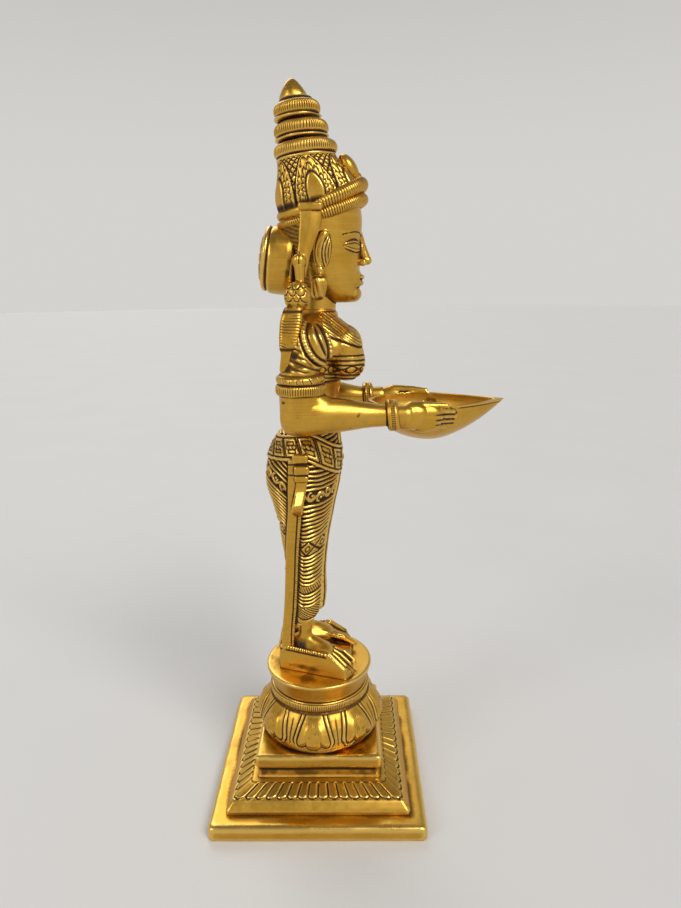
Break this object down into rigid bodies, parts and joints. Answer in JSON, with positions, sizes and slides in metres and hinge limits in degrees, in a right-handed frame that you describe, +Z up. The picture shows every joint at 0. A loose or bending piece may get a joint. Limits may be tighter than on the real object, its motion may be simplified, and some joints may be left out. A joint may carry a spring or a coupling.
{
  "type": "brass lamp bearer statue",
  "caption": "Cast brass lamp: a draped standing figure on a stepped square base with a lotus pedestal holds out a leaf-shaped oil bowl in both hands.",
  "frame": {"origin": "centre of the base plate's underside, on the surface that the lamp stands on", "axes": "+Z up, +X the way the figure faces and the bowl's spout points, -Y the side of the figure's right hand"},
  "size_m": [0.1276, 0.094, 0.3042],
  "materials": {
    "cast_brass": "polished cast brass with dark brown patina left in the carving",
    "steel": "plain zinc-plated steel"
  },
  "bodies": {
    "root": {"base_plate": "cast_brass", "petal_plinth": "cast_brass", "square_block": "cast_brass", "lotus_dome": "cast_brass", "beaded_collar": "cast_brass", "standing_disc": "cast_brass", "tie_rod": "steel", "clamp_washer": "steel", "hex_nut": "steel", "foot_block": "cast_brass", "lower_body": "cast_brass", "right_sash": "cast_brass", "left_sash": "cast_brass", "torso": "cast_brass", "right_armlet": "cast_brass", "left_armlet": "cast_brass", "right_forearm": "cast_brass", "left_forearm": "cast_brass", "right_bangle": "cast_brass", "left_bangle": "cast_brass", "oil_bowl": "cast_brass", "head": "cast_brass", "hair_bun": "cast_brass", "right_tassel": "cast_brass", "left_tassel": "cast_brass", "crown": "cast_brass", "crown_spire": "cast_brass", "crown_finial": "cast_brass"}
  },
  "joints": []
}
